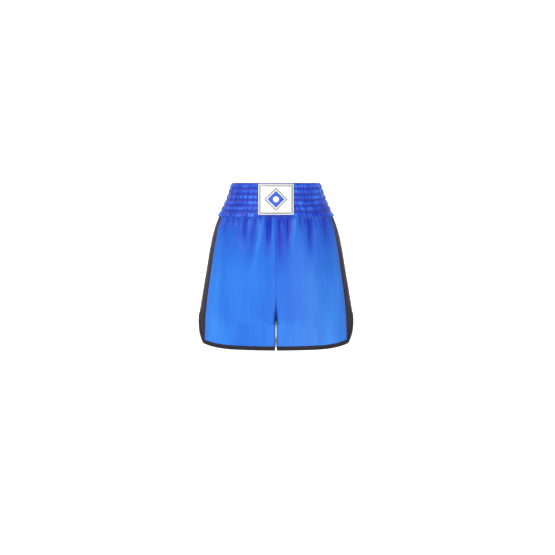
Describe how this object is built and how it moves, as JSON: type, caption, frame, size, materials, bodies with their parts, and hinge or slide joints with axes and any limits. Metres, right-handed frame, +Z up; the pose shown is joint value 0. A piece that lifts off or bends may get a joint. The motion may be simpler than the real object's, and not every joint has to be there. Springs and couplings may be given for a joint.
{
  "type": "boxing shorts",
  "caption": "Satin boxing shorts with a wide shirred elastic waistband, a front label patch, black tapered side bands, bound hems and side vents, shown in their worn shape.",
  "frame": {"origin": "centre of the waist opening, level with the waistband's top edge", "axes": "+Z is up along the wearer's body, -Y is the way the wearer faces and the label looks, +X is the wearer's left"},
  "size_m": [0.377, 0.2052, 0.397],
  "materials": {
    "waistband_satin": "satin",
    "blue_satin": "satin",
    "black_satin": "satin",
    "black_tape": "matte",
    "label_satin": "satin",
    "grey_thread": "satin",
    "blue_thread": "satin",
    "navy_thread": "satin",
    "black_thread": "satin",
    "care_tape": "satin",
    "elastic": "matte"
  },
  "bodies": {
    "hips": {"waistband_casing": "waistband_satin", "label_patch": "label_satin", "label_border": "grey_thread", "label_emblem": "blue_thread", "care_label": "care_tape", "elastic_1": "elastic", "elastic_2": "elastic", "elastic_3": "elastic", "elastic_4": "elastic", "elastic_5": "elastic", "elastic_6": "elastic", "shirring_row_1": "navy_thread", "shirring_row_2": "navy_thread", "shirring_row_3": "navy_thread", "shirring_row_4": "navy_thread", "shirring_row_5": "navy_thread", "left_front_panel_hip": "blue_satin", "left_back_panel_hip": "blue_satin", "left_side_band_hip": "black_satin", "right_front_panel_hip": "blue_satin", "right_back_panel_hip": "blue_satin", "right_side_band_hip": "black_satin"},
    "left_leg": {"left_front_panel_leg": "blue_satin", "left_back_panel_leg": "blue_satin", "left_side_band_leg": "black_satin", "left_hem_binding": "black_tape", "left_vent_tack": "black_thread"},
    "right_leg": {"right_front_panel_leg": "blue_satin", "right_back_panel_leg": "blue_satin", "right_side_band_leg": "black_satin", "right_hem_binding": "black_tape", "right_vent_tack": "black_thread"}
  },
  "joints": [
    {"name": "left_leg_swing", "type": "hinge", "parent": "hips", "child": "left_leg", "pos_m": [0, 0, -0.266], "axis": [-1, 0, 0], "range_deg": [-15, 25]},
    {"name": "right_leg_swing", "type": "hinge", "parent": "hips", "child": "right_leg", "pos_m": [0, 0, -0.266], "axis": [-1, 0, 0], "range_deg": [-15, 25]}
  ]
}
